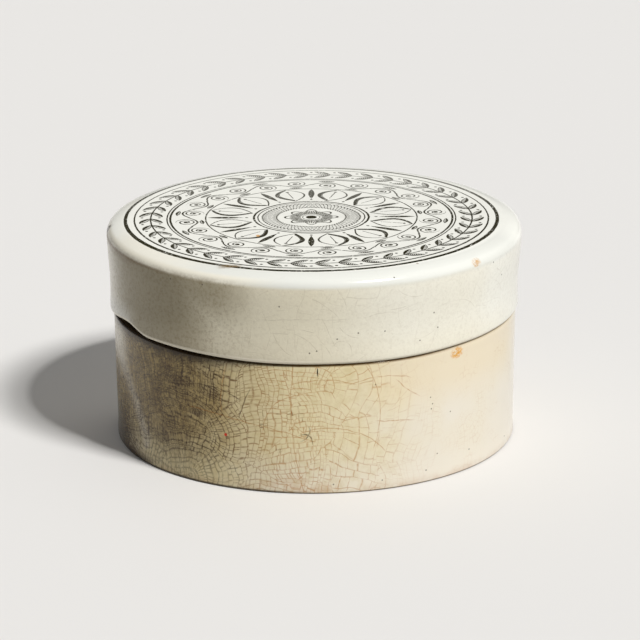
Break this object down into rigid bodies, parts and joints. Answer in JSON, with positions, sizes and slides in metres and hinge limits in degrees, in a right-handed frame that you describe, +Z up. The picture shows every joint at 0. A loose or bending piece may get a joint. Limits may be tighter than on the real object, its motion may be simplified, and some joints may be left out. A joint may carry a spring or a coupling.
{
  "type": "toothpaste pot",
  "caption": "Low round glazed earthenware pot with a deep lift-off lid that drops over an inner neck and rests on the shoulder.",
  "frame": {"origin": "centre of the circle that the foot ring stands on, at the bottom of the pot", "axes": "+Z up along the pot's axis of rotation, towards the lid; +X to the right and -Y towards the viewer, as the pot was pictured, with the chip of the lid's edge at the left front"},
  "size_m": [0.0836, 0.0836, 0.0444],
  "materials": {
    "pot_glaze": "crazed cream glaze, stained brown",
    "lid_glaze": "glossy off-white glaze over a black printed ornament"
  },
  "bodies": {
    "pot": {"pot": "pot_glaze"},
    "lid": {"lid": "lid_glaze"}
  },
  "joints": [
    {"name": "lid_lift", "type": "slide", "parent": "pot", "child": "lid", "axis": [0, 0, 1], "range_m": [0, 0.06]}
  ]
}
